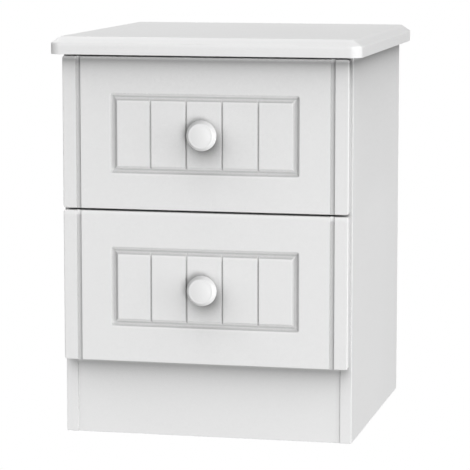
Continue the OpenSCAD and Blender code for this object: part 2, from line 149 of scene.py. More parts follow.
class FrontSizes(bpy.types.PropertyGroup):
    """Sizes of the routed drawer fronts."""

    face_round: length("Face rounding", "Radius of the front arrises", 1.4)
    corner: length("Corner radius", "Corners of a front, seen from the front", 3.2)
    end_groove_x: length("End groove", "Distance from the middle out to each end groove", 161.75)
    end_groove: length("End groove width", "Width of each upright end groove", 6.2)
    end_depth: length("End groove depth", "Depth of the round end grooves", 2.4)
    frame_width: length("Frame width", "Routed frame, over its outer edges", 241)
    frame_height: length("Frame height", "Routed frame, over its outer edges", 100.4)
    frame_groove: length("Frame groove", "Width of the frame's groove", 9.2)
    frame_corner: length("Frame corner", "Radius of the frame's outer corners", 2.5)
    slat_pitch: length("Slat pitch", "Spacing of the narrow upright grooves", 45.7)
    slat_groove: length("Slat groove", "Width of the narrow upright grooves", 2.4)
    slat_inset: length("Slat inset", "Start of the narrow grooves inside the frame's edge", 3.5)
    depth: length("Groove depth", "Depth of the frame's groove", 3.5)
    flat: length("Groove flat", "Flat width at the bottom of the frame's groove", 2)
    lip: length("Groove lip", "Reach of the rounding at the lips of the grooves", 0.5)


class KnobSizes(bpy.types.PropertyGroup):
    """Sizes of the turned knobs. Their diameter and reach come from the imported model."""

    neck: length("Neck", "Diameter of the neck", 17)
    foot: length("Foot", "Diameter of the foot", 22)
    rim: length("Rim", "Distance from the tip back to the widest ring", 7.5)
    face: length("Face step", "Width of the sloping ring around the domed face", 5.0)
    dome: length("Dome", "Height of the domed face", 1.3)
    bore: length("Bore", "Diameter of the hole for the insert", 8.2)
    bore_depth: length("Bore depth", "Depth of the hole for the insert", 12.5)


class Finishes(bpy.types.PropertyGroup):
    """Colours of the finishes, one for each material slot of the record."""

    white_foil: paint("Foil", "Matt white foil of the carcass and the fronts", "white_foil")
    white_board: paint("Board", "White-faced inner boards", "white_board")
    drawer_board: paint("Drawer board", "White-faced boards of the drawer boxes", "drawer_board")
    hardboard: paint("Hardboard", "Painted face of the thin panels", "hardboard")
    knob_paint: paint("Knob lacquer", "Satin white lacquer of the knobs", "knob_paint")
    coated_steel: paint("Coated steel", "Powder coat of the runners", "coated_steel")
    zinc_screws: paint("Zinc plate", "Bright plating of the screws and rivets", "zinc_screws")
    zinc_fittings: paint("Cast zinc", "Dull cast metal of the cam locks and bolts", "zinc_fittings")
    brass: paint("Brass", "Turned brass of the knobs' inserts", "brass")
    beech: paint("Beech", "Bare beech of the dowels", "beech")
    nylon: paint("Nylon", "Off-white nylon of the wheels", "nylon")


class StudioSizes(bpy.types.PropertyGroup):
    """The camera and the lights."""

    lens: bpy.props.FloatProperty(
        name="Lens", description="Focal length on a 36 mm sensor, in millimetres", default=186.2, min=1.0
    )
    place: bpy.props.FloatVectorProperty(
        name="Camera place", description="Where the camera stands", default=(0.6915, -3.1035, 0.6656),
        size=3, subtype="TRANSLATION",
    )
    turn: bpy.props.FloatProperty(
        name="Turn", description="Camera turned to the left", default=math.radians(12.60), subtype="ANGLE"
    )
    tilt: bpy.props.FloatProperty(
        name="Tilt", description="Camera tilted down", default=math.radians(7.70), subtype="ANGLE"
    )
    above: bpy.props.FloatProperty(
        name="Above", description="Brightness of the surround above the horizon", default=0.46, min=0.0
    )
    below: bpy.props.FloatProperty(
        name="Below", description="Brightness of the surround below the horizon", default=0.22, min=0.0
    )
    key: watts("Key", "Low soft light in front and to the right", 1365)
    side: watts("Side", "Soft light on the right side", 665)
    top: watts("Top", "High soft light behind and to the left", 1060)


# ---------------------------------------------------------------- outlines


def softened(path, reach, steps=4):
    """An open path of points whose inner corners are turned into short smooth bends."""
    made = [path[0]]
    for before, corner, after in zip(path, path[1:], path[2:]):
        a, b = (Vector(p) - Vector(corner) for p in (before, after))
        t = min(reach, 0.45 * a.length, 0.45 * b.length)
        start, end = Vector(corner) + a.normalized() * t, Vector(corner) + b.normalized() * t
        for i in range(steps + 1):
            s = i / steps
            made.append(tuple(start * (1 - s) ** 2 + Vector(corner) * 2 * s * (1 - s) + end * s**2))
    return made + [path[-1]]


def arc(x, y, radius, start, end, steps):
    """Points of an arc, its angles in degrees."""
    angles = [math.radians(start + (end - start) * i / steps) for i in range(steps + 1)]
    return [(x + radius * math.cos(a), y + radius * math.sin(a)) for a in angles]


def between(profile, s):
    """The profile's height at s, on straight lines between its points, and 0 outside it."""
    if not profile[0][0] < s < profile[-1][0]:
        return 0.0
    for (s0, h0), (s1, h1) in zip(profile, profile[1:]):
        if s <= s1:
            return h0 + (h1 - h0) * (s - s0) / max(s1 - s0, 1e-12)
    return 0.0


# ---------------------------------------------------------------- meshes


def finish_mesh(name, mesh, crease=32):
    """Puts a mesh in the scene, smooth but for its sharp edges, with flat faces shaded flat."""
    mesh.validate()
    mesh.shade_smooth()
    mesh.set_sharp_from_angle(angle=math.radians(crease))
    piece = bpy.data.objects.new(name, mesh)
    bpy.context.scene.collection.objects.link(piece)
    weighted = piece.modifiers.new("Even shading", "WEIGHTED_NORMAL")
    weighted.keep_sharp = True
    return piece


def built(name, verts, faces, crease=32):
    """A piece from points and faces, with doubled points joined and all faces turned outward."""
    mesh = bpy.data.meshes.new(name)
    mesh.from_pydata([tuple(v) for v in verts], [], faces)
    shape = bmesh.new()
    shape.from_mesh(mesh)
    bmesh.ops.remove_doubles(shape, verts=shape.verts, dist=DOUBLED)
    bmesh.ops.dissolve_degenerate(shape, edges=shape.edges, dist=DOUBLED / 2)
    bmesh.ops.recalc_face_normals(shape, faces=shape.faces)
    shape.to_mesh(mesh)
    shape.free()
    return finish_mesh(name, mesh, crease)


def stand_for(piece, node, material):
    """The piece takes the place, the body and the finish of a CAD node."""
    body = next(b for b, nodes in frame["record"]["behaviour"]["bodies"].items() if node in nodes)
    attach(piece, body)
    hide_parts(node)
    piece.data.materials.clear()
    piece.data.materials.append(material)


def ring_faces(first, second, count):
    """Quads between two closed rings of vertices, given by their first indices."""
    return [
        (first + i, first + (i + 1) % count, second + (i + 1) % count, second + i) for i in range(count)
    ]


def eased_copy(node, width, material):
    """A copy of a CAD board or runner with its long outer edges rounded."""
    shape = bmesh.new()
    shape.from_mesh(frame["nodes"][node].data)
    bmesh.ops.remove_doubles(shape, verts=shape.verts, dist=CAD_DOUBLED)
    bmesh.ops.dissolve_limit(
        shape, angle_limit=math.radians(1), verts=shape.verts, edges=shape.edges,
        use_dissolve_boundaries=False,
    )
    low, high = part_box(node)
    shortest = min(0.5 * min(high - low), 6 * width)
    edges = [
        e
        for e in shape.edges
        if len(e.link_faces) == 2
        and e.calc_length() > max(shortest, 2 * MM)
        and e.is_convex
        and e.calc_face_angle(0.0) > LEAST_TURN
    ]
    bmesh.ops.bevel(
        shape, geom=edges, offset=width, offset_type="OFFSET", segments=3, profile=0.5, affect="EDGES",
        clamp_overlap=True, loop_slide=True,
    )
    name = "eased_" + node
    mesh = bpy.data.meshes.new(name)
    shape.to_mesh(mesh)
    shape.free()
    stand_for(finish_mesh(name, mesh), node, material)


# ---------------------------------------------------------------- top board


def top_ring(low, high, sizes, inset, back_inset, z):
    """The top board's outline at one height, round at the front and nearly square at the back."""
    r = sizes.corner
    back_r = sizes.arris
    left, right, back = low.x + inset, high.x - inset, high.y - back_inset
    corners = [
        arc(low.x + r, low.y + r, r - inset, 180, 270, 14),
        arc(high.x - r, low.y + r, r - inset, 270, 360, 14),
        arc(right - back_r, back - back_r, back_r, 0, 90, 3),
        arc(left + back_r, back - back_r, back_r, 90, 180, 3),
    ]
    return [Vector((x, y, z)) for corner in corners for x, y in corner]


def make_top_board(sizes, material):
    """Rings from the underside up over the square edge and the bevel to the top face."""
    low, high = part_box("top_board")
    thick = high.z - low.z
    ease = sizes.arris
    edge_top = thick - sizes.bevel_drop
    foot = softened([(ease, 0.0), (0.0, 0.0), (0.0, ease)], sizes.under_soft, 4)[:-1]
    outline = foot + softened(
        [(0.0, ease), (0.0, edge_top), (sizes.bevel_run, thick), (sizes.bevel_run + 3 * ease, thick)],
        sizes.bevel_soft, 6,
    )
    outline = [(min(inset, sizes.corner - 0.2 * MM), z) for inset, z in outline]
    verts, faces = [], []
    count = 0
    for inset, z in outline:
        above = max(0.0, z - (thick - ease)) / ease
        below = max(0.0, ease - z) / ease
        back_inset = ease * (1 - math.sqrt(max(0.0, 1 - max(above, below) ** 2)))
        ring = top_ring(low, high, sizes, inset, back_inset, low.z + z)
        count = len(ring)
        if verts:
            faces += ring_faces(len(verts) - count, len(verts), count)
        verts += ring
    faces.append(tuple(range(count)))
    faces.append(tuple(range(len(verts) - count, len(verts))))
    stand_for(built("finished_top_board", verts, faces), "top_board", material)


# ---------------------------------------------------------------- drawer fronts


def groove_section(width, depth, flat, lip):
    """Section of a routed groove: (distance from its middle, depth) with soft lips."""
    half = width / 2
    path = [(-half - 2 * lip, 0.0), (-half, 0.0), (-flat / 2, depth), (flat / 2, depth), (half, 0.0)]
    return softened(path + [(half + 2 * lip, 0.0)], lip, 4)


def cove_section(width, depth, lip):
    """Section of a round-bottomed groove: (distance from its middle, depth) with soft lips."""
    half = width / 2
    radius = (half**2 + depth**2) / (2 * depth)
    swing = math.degrees(math.asin(half / radius))
    bowl = arc(0.0, depth - radius, radius, 90 + swing, 90, 6)
    left = softened([(-half - 2 * lip, 0.0), bowl[0], bowl[1]], lip, 3)[:-1] + bowl[1:-1]
    return left + [(0.0, depth)] + [(-s, d) for s, d in reversed(left)]


def edge_section(radius, steps=6):
    """Section of a front's rounded arris: (distance from the edge, depth)."""
    angles = [math.radians(90 * i / steps) for i in range(steps + 1)]
    return [(radius * (1 - math.cos(a)), radius * (1 - math.sin(a))) for a in angles]


def pulled_round(a, b, radius, fade):
    """Moves a point of a square corner so that the square of that radius becomes a round one.

    a and b run from the middle of the corner's arc. Outside the radius the pull fades away.
    """
    far = max(a, b)
    if min(a, b) <= 0 or far >= radius + fade:
        return a, b
    pull = 1.0 if far <= radius else 1 - (far - radius) / fade
    scale = 1 + pull * (far / math.hypot(a, b) - 1)
    return a * scale, b * scale


def round_corners(u, v, half_u, half_v, radius, fade):
    """A point of a rectangle with its corners pulled round."""
    middle_u, middle_v = half_u - radius, half_v - radius
    a, b = pulled_round(abs(u) - middle_u, abs(v) - middle_v, radius, fade)
    return math.copysign(middle_u + a, u), math.copysign(middle_v + b, v)


def mirrored_lines(values, limit):
    """Grid lines on both sides of zero, in order, with near doubles left out."""
    made = []
    for value in sorted({round(s * v, 7) for v in values if abs(v) <= limit + 1e-9 for s in (-1, 1)}):
        if not made or value - made[-1] > SAME_LINE:
            made.append(value)
    return made


class FrontFace:
    """The routed face of a drawer front: depth below its flat face at each place on it."""

    def __init__(self, half_w, half_h, sizes):
        self.half_w, self.half_h, self.sizes = half_w, half_h, sizes
        self.edge = edge_section(sizes.face_round)
        self.end = cove_section(sizes.end_groove, sizes.end_depth, sizes.lip)
        self.frame = groove_section(sizes.frame_groove, sizes.depth, sizes.flat, sizes.lip)
        self.slat = groove_section(sizes.slat_groove, sizes.depth / 2, sizes.flat / 4, sizes.lip / 2)
        self.slats = [n * sizes.slat_pitch for n in (-1.5, -0.5, 0.5, 1.5)]
        self.frame_u, self.frame_v = sizes.frame_width / 2, sizes.frame_height / 2

    def frame_lines(self, half):
        """Grid lines across one side of the routed frame."""
        middle = half - self.sizes.frame_groove / 2
        return [middle + s for s, _ in self.frame]

    def lines(self):
        """Upright and level grid lines: every bend of every section has one."""
        round_area = [self.sizes.corner * t for t in (1.0, 1 + CORNER_FADE)]
        edge = [s for s, _ in self.edge] + round_area
        fade = [self.sizes.frame_corner * t for t in (1.0, 2.0, 3.0)]
        u = [self.half_w - s for s in edge] + self.frame_lines(self.frame_u)
        u += [self.frame_u + s for s in fade] + [self.sizes.end_groove_x + s for s, _ in self.end]
        u += [c + s for c in self.slats for s, _ in self.slat]
        u += [c * self.sizes.slat_pitch for c in (0.0, 1.0, 2.0)]
        v = [self.half_h - s for s in edge] + self.frame_lines(self.frame_v)
        v += [self.frame_v + s for s in fade] + [self.frame_v * t for t in (0.0, 0.25, 0.5, 0.75)]
        return mirrored_lines(u, self.half_w), mirrored_lines(v, self.half_h)

    def depth(self, u, v):
        """Depth at a place, before the corners are pulled round."""
        from_edge = min(self.half_w - abs(u), self.half_h - abs(v))
        found = self.edge[0][1] if from_edge <= 0 else between(self.edge, from_edge)
        found = max(found, between(self.end, abs(u) - self.sizes.end_groove_x))
        inside = min(self.frame_u - abs(u), self.frame_v - abs(v))
        found = max(found, between(self.frame, self.sizes.frame_groove / 2 - inside))
        if inside > self.sizes.slat_inset:
            found = max([found] + [between(self.slat, u - c) for c in self.slats])
        return found

    def place(self, u, v):
        """The place on the finished face, with the outer and the frame's corners round."""
        r = self.sizes.corner
        u, v = round_corners(u, v, self.half_w, self.half_h, r, CORNER_FADE * r)
        r = self.sizes.frame_corner
        return round_corners(u, v, self.frame_u, self.frame_v, r, 2 * r)

    def is_mitre(self, u0, u1, v0, v1):
        """True for a cell that the frame's mitre line crosses from corner to corner."""
        across = abs(abs(u0) - abs(u1)) - abs(abs(v0) - abs(v1))
        middle = (self.frame_u - abs(u0 + u1) / 2) - (self.frame_v - abs(v0 + v1) / 2)
        inside = self.frame_u - abs(u0 + u1) / 2
        near = -self.sizes.lip * 2 < inside < self.sizes.frame_groove + self.sizes.lip * 2
        return near and abs(across) < DOUBLED / 2 and abs(middle) < DOUBLED / 2


def front_piece(name, low, high, sizes):
    """A closed drawer front: the routed face, the edges and the back."""
    face = FrontFace((high.x - low.x) / 2, (high.z - low.z) / 2, sizes)
    middle_x, middle_z = (low.x + high.x) / 2, (low.z + high.z) / 2
    us, vs = face.lines()
    verts, faces = [], []
    for v in vs:
        for u in us:
            x, z = face.place(u, v)
            verts.append(Vector((middle_x + x, low.y + face.depth(u, v), middle_z + z)))
    nu, nv = len(us), len(vs)
    for j in range(nv - 1):
        for i in range(nu - 1):
            a, b, c, d = j * nu + i, j * nu + i + 1, (j + 1) * nu + i + 1, (j + 1) * nu + i
            if not face.is_mitre(us[i], us[i + 1], vs[j], vs[j + 1]):
                faces.append((a, b, c, d))
            elif (us[i] > 0) == (vs[j] > 0):
                faces += [(a, b, c), (a, c, d)]
            else:
                faces += [(a, b, d), (b, c, d)]
    rim = [i for i in range(nu)] + [j * nu + nu - 1 for j in range(1, nv)]
    rim += [(nv - 1) * nu + i for i in reversed(range(nu - 1))] + [j * nu for j in reversed(range(1, nv - 1))]
    rings = [rim]
    for y, inset in ((high.y - FRONT_BACK_EASE, 0.0), (high.y, FRONT_BACK_EASE)):
        first = len(verts)
        for k in rim:
            p = verts[k]
            x = middle_x + (p.x - middle_x) * (1 - inset / face.half_w)
            z = middle_z + (p.z - middle_z) * (1 - inset / face.half_h)
            verts.append(Vector((x, y, z)))
        rings.append(list(range(first, first + len(rim))))
    for first, second in zip(rings, rings[1:]):
        for k in range(len(rim)):
            n = (k + 1) % len(rim)
            faces.append((first[k], first[n], second[n], second[k]))
    faces.append(tuple(rings[-1]))
    return built(name, verts, faces, 30)


# ---------------------------------------------------------------- knobs


def knob_outline(radius, reach, sizes):
    """The knob's half section from the bottom of its bore to the middle of its face."""
    neck, foot, bore = sizes.neck / 2, sizes.foot / 2, sizes.bore / 2
    foot_height, foot_ease = 1.5 * MM, 0.4 * MM
    rim_r, shoulder_r = 2 * MM, 3.1 * MM
    rim_z = reach - sizes.rim
    face = radius - sizes.face
    dome_r = (face**2 + sizes.dome**2) / (2 * sizes.dome)
    swing = math.degrees(math.asin(face / dome_r))
    cove = foot - neck + foot_height
    under = softened(
        arc(neck + cove, foot_height + cove, cove, 250, 180, 8)
        + [(neck, rim_z - 5.5 * MM), (radius - 1.5 * MM, rim_z - rim_r)],
        rim_r, 6,
    )
    rim = arc(radius - rim_r, rim_z, rim_r, -50, 40, 10)
    shoulder = arc(face - 0.5 * MM, reach - sizes.dome - 2.6 * MM, shoulder_r, 25, 65, 8)
    dome = arc(0, reach - dome_r, dome_r, 90 - swing * 0.96, 90, 14)
    base = [(0.0, sizes.bore_depth), (bore, sizes.bore_depth), (bore, 0.0), (foot - foot_ease, 0.0)]
    return base + [(foot, foot_ease), (foot, 1.2 * MM)] + under + rim + shoulder + dome


def knob_piece(name, middle, radius, reach, sizes, segments=96):
    """The knob turned about the line that runs out of the drawer front."""
    outline = knob_outline(radius, reach, sizes)
    verts, faces = [], []
    for r, h in outline:
        for i in range(segments):
            a = 2 * math.pi * i / segments
            verts.append(Vector((middle.x + r * math.cos(a), middle.y - h, middle.z + r * math.sin(a))))
    for k in range(len(outline) - 1):
        faces += ring_faces(k * segments, (k + 1) * segments, segments)
    return built(name, verts, faces, 38)


# ---------------------------------------------------------------- shader nodes


def add_node(tree, kind, inputs=None, **settings):
    """A new node with its settings. Each input is a plain value or another node's output."""
    made = tree.nodes.new(kind)
    for key, value in settings.items():
        setattr(made, key, value)
    for key, value in (inputs or {}).items():
        if isinstance(value, bpy.types.NodeSocket):
            tree.links.new(value, made.inputs[key])
        else:
            made.inputs[key].default_value = value
    return made


def math_node(tree, operation, a, b=0.0, c=0.0):
    """The output of a Math node."""
    return add_node(tree, "ShaderNodeMath", {0: a, 1: b, 2: c}, operation=operation).outputs[0]


def new_group(name, inputs, outputs):
    """An empty shader node group with named sockets, and its input and output nodes."""
    tree = bpy.data.node_groups.new(name, "ShaderNodeTree")
    kinds = {"value": "NodeSocketFloat", "colour": "NodeSocketColor", "vector": "NodeSocketVector"}
    for socket, kind in inputs:
        tree.interface.new_socket(name=socket, in_out="INPUT", socket_type=kinds[kind])
    for socket, kind in outputs:
        tree.interface.new_socket(name=socket, in_out="OUTPUT", socket_type=kinds[kind])
    return tree, tree.nodes.new("NodeGroupInput"), tree.nodes.new("NodeGroupOutput")


def noise(tree, place, scale, detail=3.0, roughness=0.5):
    """Soft noise about a middle of 0.5."""
    return add_node(
        tree, "ShaderNodeTexNoise",
        {"Vector": place, "Scale": scale, "Detail": detail, "Roughness": roughness},
    ).outputs["Fac"]


def scaled_colour(tree, colour, factor):
    """A colour times a value, for colours that only grow lighter or darker."""
    scaled = add_node(
        tree, "ShaderNodeVectorMath", {"Vector": colour, "Scale": factor}, operation="SCALE"
    )
    return scaled.outputs["Vector"]


def make_mottle_group():
    """Cloudy unevenness of colour and gloss, as on any rolled, sprayed or moulded face."""
    tree, given, made = new_group(
        "Mottle",
        [
            ("Colour", "colour"), ("Scale", "value"), ("Amount", "value"),
            ("Roughness", "value"), ("Spread", "value"),
        ],
        [("Colour", "colour"), ("Roughness", "value")],
    )
    place = tree.nodes.new("ShaderNodeTexCoord").outputs["Object"]
    clouds = math_node(tree, "SUBTRACT", noise(tree, place, given.outputs["Scale"]), 0.5)
    fine_scale = math_node(tree, "MULTIPLY", given.outputs["Scale"], 7.3)
    specks = math_node(tree, "SUBTRACT", noise(tree, place, fine_scale, 2.0), 0.5)
    both = math_node(tree, "MULTIPLY_ADD", specks, 0.6, clouds)
    factor = math_node(tree, "MULTIPLY_ADD", both, given.outputs["Amount"], 1.0)
    tree.links.new(scaled_colour(tree, given.outputs["Colour"], factor), made.inputs["Colour"])
    gloss = math_node(tree, "MULTIPLY_ADD", both, given.outputs["Spread"], given.outputs["Roughness"])
    tree.links.new(gloss, made.inputs["Roughness"])
    return tree


def make_peel_group():
    """Fine orange-peel unevenness over long, very shallow waves."""
    tree, given, made = new_group("Peel", [("Scale", "value"), ("Waves", "value")], [("Height", "value")])
    place = tree.nodes.new("ShaderNodeTexCoord").outputs["Object"]
    fine = noise(tree, place, given.outputs["Scale"], 2.0, 0.55)
    wave_scale = math_node(tree, "MULTIPLY", given.outputs["Scale"], 0.06)
    waves = noise(tree, place, wave_scale, 1.0, 0.4)
    total = math_node(tree, "MULTIPLY_ADD", waves, given.outputs["Waves"], fine)
    tree.links.new(total, made.inputs["Height"])
    return tree


def make_grain_group():
    """Long fibres along one axis: a mask, and the same as a height."""
    tree, given, made = new_group(
        "Grain", [("Stretch", "vector"), ("Scale", "value")], [("Fibres", "value"), ("Height", "value")]
    )
    place = tree.nodes.new("ShaderNodeTexCoord").outputs["Object"]
    drawn_out = add_node(
        tree, "ShaderNodeVectorMath", {0: place, 1: given.outputs["Stretch"]}, operation="MULTIPLY"
    ).outputs["Vector"]
    fibres = noise(tree, drawn_out, given.outputs["Scale"], 5.0, 0.6)
    pore_scale = math_node(tree, "MULTIPLY", given.outputs["Scale"], 3.7)
    pores = noise(tree, drawn_out, pore_scale, 2.0, 0.7)
    mask = add_node(tree, "ShaderNodeMapRange", {"Value": pores, "From Min": 0.5, "From Max": 0.75})
    total = math_node(tree, "MULTIPLY_ADD", mask.outputs["Result"], -0.5, fibres)
    tree.links.new(fibres, made.inputs["Fibres"])
    tree.links.new(total, made.inputs["Height"])
    return tree


def make_painted_shade_group():
    """Painted shade: how open a place is to light from above, 1 on a free face, less under ledges and knobs.

    Grooves and gaps, shaded from very near by, are left to the lights themselves and get no painted shade.
    """
    tree, given, made = new_group(
        "Shelter",
        [
            ("Lean", "vector"), ("Reach", "value"), ("Near", "value"),
            ("Strength", "value"), ("Least", "value"),
        ],
        [("Shade", "value")],
    )
    normal = tree.nodes.new("ShaderNodeNewGeometry").outputs["Normal"]
    leaning = add_node(tree, "ShaderNodeVectorMath", {0: normal, 1: given.outputs["Lean"]}, operation="ADD")
    toward = add_node(
        tree, "ShaderNodeVectorMath", {0: leaning.outputs["Vector"]}, operation="NORMALIZE"
    ).outputs["Vector"]
    far, near = (
        add_node(
            tree, "ShaderNodeAmbientOcclusion", {"Distance": given.outputs[key], "Normal": toward}, samples=10
        ).outputs["AO"]
        for key in ("Reach", "Near")
    )
    cosine = add_node(tree, "ShaderNodeVectorMath", {0: normal, 1: toward}, operation="DOT_PRODUCT")
    free_face = math_node(tree, "MULTIPLY_ADD", cosine.outputs["Value"], 0.5, 0.5)
    own = math_node(tree, "MAXIMUM", math_node(tree, "MINIMUM", near, free_face), 0.1)
    openness = math_node(tree, "DIVIDE", far, own)
    kept = math_node(tree, "MAXIMUM", math_node(tree, "MINIMUM", openness, 1.0), given.outputs["Least"])
    tree.links.new(math_node(tree, "POWER", kept, given.outputs["Strength"]), made.inputs["Shade"])
    return tree


class Workshop:
    """The shared node groups, and the materials made from them, each made once."""

    def __init__(self):
        self.groups = {}
        self.materials = {}

    def group(self, name, maker):
        """The shared group of that name."""
        if name not in self.groups:
            self.groups[name] = maker()
        return self.groups[name]

    def use(self, tree, name, maker, inputs):
        """Places a shared group in a material's tree with its own values."""
        placed = tree.nodes.new("ShaderNodeGroup")
        placed.node_tree = self.group(name, maker)
        for key, value in inputs.items():
            placed.inputs[key].default_value = value
        return placed

    def material(self, slot):
        """The finish of a material slot."""
        if slot not in self.materials:
            self.materials[slot] = MAKERS[slot](self, getattr(bpy.context.scene.cabinet_finishes, slot))
        return self.materials[slot]


workshop = Workshop()


def new_material(name, colour):
    """A material with one Principled shader, and that shader."""
    material = bpy.data.materials.new(name)
    material.use_nodes = True
    material.diffuse_color = (*colour, 1.0)
    shader = material.node_tree.nodes["Principled BSDF"]
    return material, material.node_tree, shader


def bumped(tree, shader, height, depth):
    """Gives the shader a bump of that depth."""
    bump = add_node(tree, "ShaderNodeBump", {"Height": height, "Distance": depth, "Strength": 1.0})
    tree.links.new(bump.outputs["Normal"], shader.inputs["Normal"])


def with_painted_shade(shop, tree, colour, strength):
    """A colour with painted shade, made darker under ledges and around knobs."""
    values = {
        "Lean": (-0.1, -0.5, 2.5),
        "Reach": 200 * MM,
        "Near": 7 * MM,
        "Strength": strength,
        "Least": 0.12,
    }
    # painted shade: ambient occlusion, leaning towards light from above, darkens the colour
    painted_shade_node = shop.use(tree, "Shelter", make_painted_shade_group, values)
    return scaled_colour(tree, colour, painted_shade_node.outputs["Shade"])


def coated(shop, name, colour, *, clouds, amount, roughness, spread, peel, depth, shade=0.0):
    """A painted, foiled, moulded or plated face: mottled colour and gloss over a fine peel.

    clouds and peel are the scales of the two patterns. amount and spread are how far the colour
    and the gloss vary, depth is the depth of the peel, and shade how strongly painted shade darkens the
    colour under ledges.
    """
    material, tree, shader = new_material(name, colour)
    values = {
        "Colour": (*colour, 1.0),
        "Scale": clouds,
        "Amount": amount,
        "Roughness": roughness,
        "Spread": spread,
    }
    mottle = shop.use(tree, "Mottle", make_mottle_group, values)
    shown = mottle.outputs["Colour"]
    # painted shade: the colour is darkened under ledges and around knobs
    if shade:
        shown = with_painted_shade(shop, tree, shown, shade)
    tree.links.new(shown, shader.inputs["Base Color"])
    tree.links.new(mottle.outputs["Roughness"], shader.inputs["Roughness"])
    surface = shop.use(tree, "Peel", make_peel_group, {"Scale": peel, "Waves": 1.5})
    bumped(tree, shader, surface.outputs["Height"], depth)
    return material, tree, shader


def make_white_foil(shop, colour):
    """Matt foil, pressed over the fronts and the carcass, its colour with painted shade under ledges and
    around knobs.
    """
    material, _, shader = coated(
        shop, "white_foil", colour, clouds=9, amount=0.012, roughness=0.5, spread=0.10,
        peel=900, depth=0.006 * MM, shade=FOIL_PAINTED_SHADE,
    )
    shader.inputs["Specular IOR Level"].default_value = 0.3
    return material


def foil_with_less_painted_shade(name, strength):
    """A copy of the foil with weaker painted shade, for faces that stand more in the open."""
    material = workshop.material("white_foil").copy()
    material.name = name
    for node in material.node_tree.nodes:
        if node.type == "GROUP" and node.node_tree.name == "Shelter":
            node.inputs["Strength"].default_value = strength
    return material


def make_white_board(shop, colour):
    """White-faced board of the parts inside the carcass, its colour with painted shade under ledges."""
    material, _, shader = coated(
        shop, "white_board", colour, clouds=14, amount=0.02, roughness=0.5, spread=0.12,
        peel=700, depth=0.012 * MM, shade=BOARD_PAINTED_SHADE,
    )
    shader.inputs["Specular IOR Level"].default_value = 0.4
    return material


def make_knob_paint(shop, colour):
    """Satin lacquer with a thin clear coat, its colour with painted shade where parts above hide it from
    light.
    """
    material, _, shader = coated(
        shop, "knob_paint", colour, clouds=40, amount=0.015, roughness=0.3, spread=0.08,
        peel=1100, depth=0.005 * MM, shade=KNOB_PAINTED_SHADE,
    )
    shader.inputs["Coat Weight"].default_value = 0.2
    shader.inputs["Coat Roughness"].default_value = 0.25
    return material


def make_coated_steel(shop, colour):
    """Powder-coated sheet steel."""
    material, _, shader = coated(
        shop, "coated_steel", colour, clouds=60, amount=0.03, roughness=0.38, spread=0.1,
        peel=1600, depth=0.02 * MM,
    )
    shader.inputs["Coat Weight"].default_value = 0.2
    return material


def make_nylon(shop, colour):
    """Moulded nylon that lets a little light in."""
    material, _, shader = coated(
        shop, "nylon", colour, clouds=120, amount=0.04, roughness=0.35, spread=0.1,
        peel=1400, depth=0.01 * MM,
    )
    shader.inputs["Subsurface Weight"].default_value = 0.15
    shader.inputs["Subsurface Scale"].default_value = 1 * MM
    return material


def make_drawer_board(shop, colour):
    """White facing pressed with a fine grain that runs along the board, its colour with painted shade under
    ledges.
    """
    material, tree, shader = coated(
        shop, "drawer_board", colour, clouds=12, amount=0.02, roughness=0.48, spread=0.12,
        peel=700, depth=0.01 * MM, shade=BOARD_PAINTED_SHADE,
    )
    grain = shop.use(tree, "Grain", make_grain_group, {"Stretch": (0.06, 0.06, 1.0), "Scale": 700})
    bump = shader.inputs["Normal"].links[0].from_node
    peel = bump.inputs["Height"].links[0].from_socket
    both = math_node(tree, "MULTIPLY_ADD", grain.outputs["Height"], 3.0, peel)
    tree.links.new(both, bump.inputs["Height"])
    return material


def make_hardboard(shop, colour):
    """Thin fibreboard: painted on the face that shows, bare tan fibres behind and below. The paint's colour
    has painted shade under ledges; the bare fibres have none.
    """
    material, tree, shader = coated(
        shop, "hardboard", colour, clouds=20, amount=0.03, roughness=0.6, spread=0.1,
        peel=500, depth=0.02 * MM, shade=BOARD_PAINTED_SHADE,
    )
    bare = shop.use(
        tree, "Mottle", make_mottle_group, {"Colour": (*BARE_FIBRES, 1.0), "Scale": 45, "Amount": 0.45}
    )
    facing = add_node(
        tree, "ShaderNodeSeparateXYZ", {"Vector": tree.nodes.new("ShaderNodeTexCoord").outputs["Normal"]}
    )
    behind = math_node(tree, "GREATER_THAN", facing.outputs["Y"], 0.5)
    below = math_node(tree, "LESS_THAN", facing.outputs["Z"], -0.5)
    mask = math_node(tree, "MAXIMUM", behind, below)
    # the paint's colour, with its painted shade
    painted = shader.inputs["Base Color"].links[0].from_socket
    factor, first, second, result = 0, 6, 7, 2  # the colour sockets of a Mix node
    mix = add_node(
        tree, "ShaderNodeMix", {factor: mask, first: painted, second: bare.outputs["Colour"]},
        data_type="RGBA",
    )
    tree.links.new(mix.outputs[result], shader.inputs["Base Color"])
    return material


def metal(shop, name, colour, **surface):
    """Plated, cast or turned metal: cloudy gloss over a fine surface."""
    material, _, shader = coated(shop, name, colour, **surface)
    shader.inputs["Metallic"].default_value = 1.0
    return material


def make_zinc_screws(shop, colour):
    """Bright plating of screws and rivets."""
    return metal(
        shop, "zinc_plate", colour, clouds=180, amount=0.12, roughness=0.3, spread=0.15,
        peel=2500, depth=0.004 * MM,
    )


def make_zinc_fittings(shop, colour):
    """Dull cast metal of cam locks and bolts."""
    return metal(
        shop, "cast_zinc", colour, clouds=90, amount=0.18, roughness=0.48, spread=0.2,
        peel=1500, depth=0.02 * MM,
    )


def make_brass(shop, colour):
    """Turned brass of the inserts."""
    return metal(
        shop, "turned_brass", colour, clouds=150, amount=0.1, roughness=0.25, spread=0.1,
        peel=3000, depth=0.004 * MM,
    )


